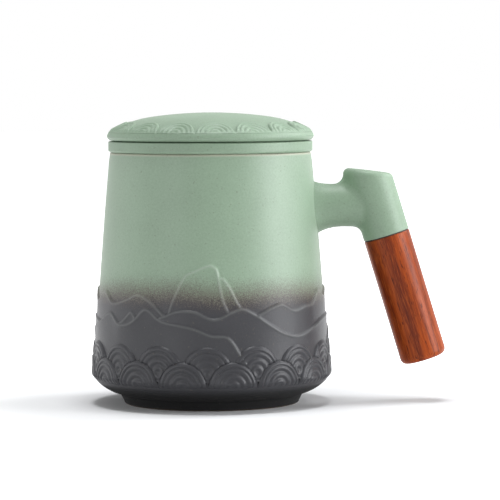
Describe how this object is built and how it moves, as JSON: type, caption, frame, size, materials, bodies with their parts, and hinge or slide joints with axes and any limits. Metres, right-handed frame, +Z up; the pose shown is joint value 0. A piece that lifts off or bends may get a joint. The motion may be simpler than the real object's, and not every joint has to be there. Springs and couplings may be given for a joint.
{
  "type": "lidded tea mug with infuser",
  "caption": "Tapering stoneware tea mug with a lift-out pierced infuser, a loose domed lid and a wooden grip screwed under a stoneware handle arm.",
  "frame": {"origin": "centre of the foot ring, on the plane that the mug stands on", "axes": "+Z up along the mug's axis, +X from the axis towards the handle, XZ the plane of symmetry"},
  "size_m": [0.1385, 0.0924, 0.1143],
  "materials": {
    "cup_glaze": "matte sage green fading to charcoal at the foot",
    "arm_glaze": "matte sage green",
    "grip_wood": "oiled, satin",
    "seal_rubber": "matte",
    "stud_steel": "plain",
    "insert_steel": "plain",
    "insert_brass": "plain",
    "infuser_glaze": "matte sage green",
    "lid_glaze": "matte sage green"
  },
  "bodies": {
    "mug": {"cup": "cup_glaze", "handle_arm": "arm_glaze", "grip": "grip_wood", "grip_seal": "seal_rubber", "stud": "stud_steel", "arm_insert": "insert_steel", "grip_insert": "insert_brass"},
    "infuser": {"infuser": "infuser_glaze"},
    "lid": {"lid": "lid_glaze"}
  },
  "joints": [
    {"name": "infuser_lift", "type": "slide", "parent": "mug", "child": "infuser", "axis": [0, 0, 1], "range_m": [0, 0.09]},
    {"name": "lid_lift", "type": "slide", "parent": "infuser", "child": "lid", "axis": [0, 0, 1], "range_m": [0, 0.06]}
  ]
}
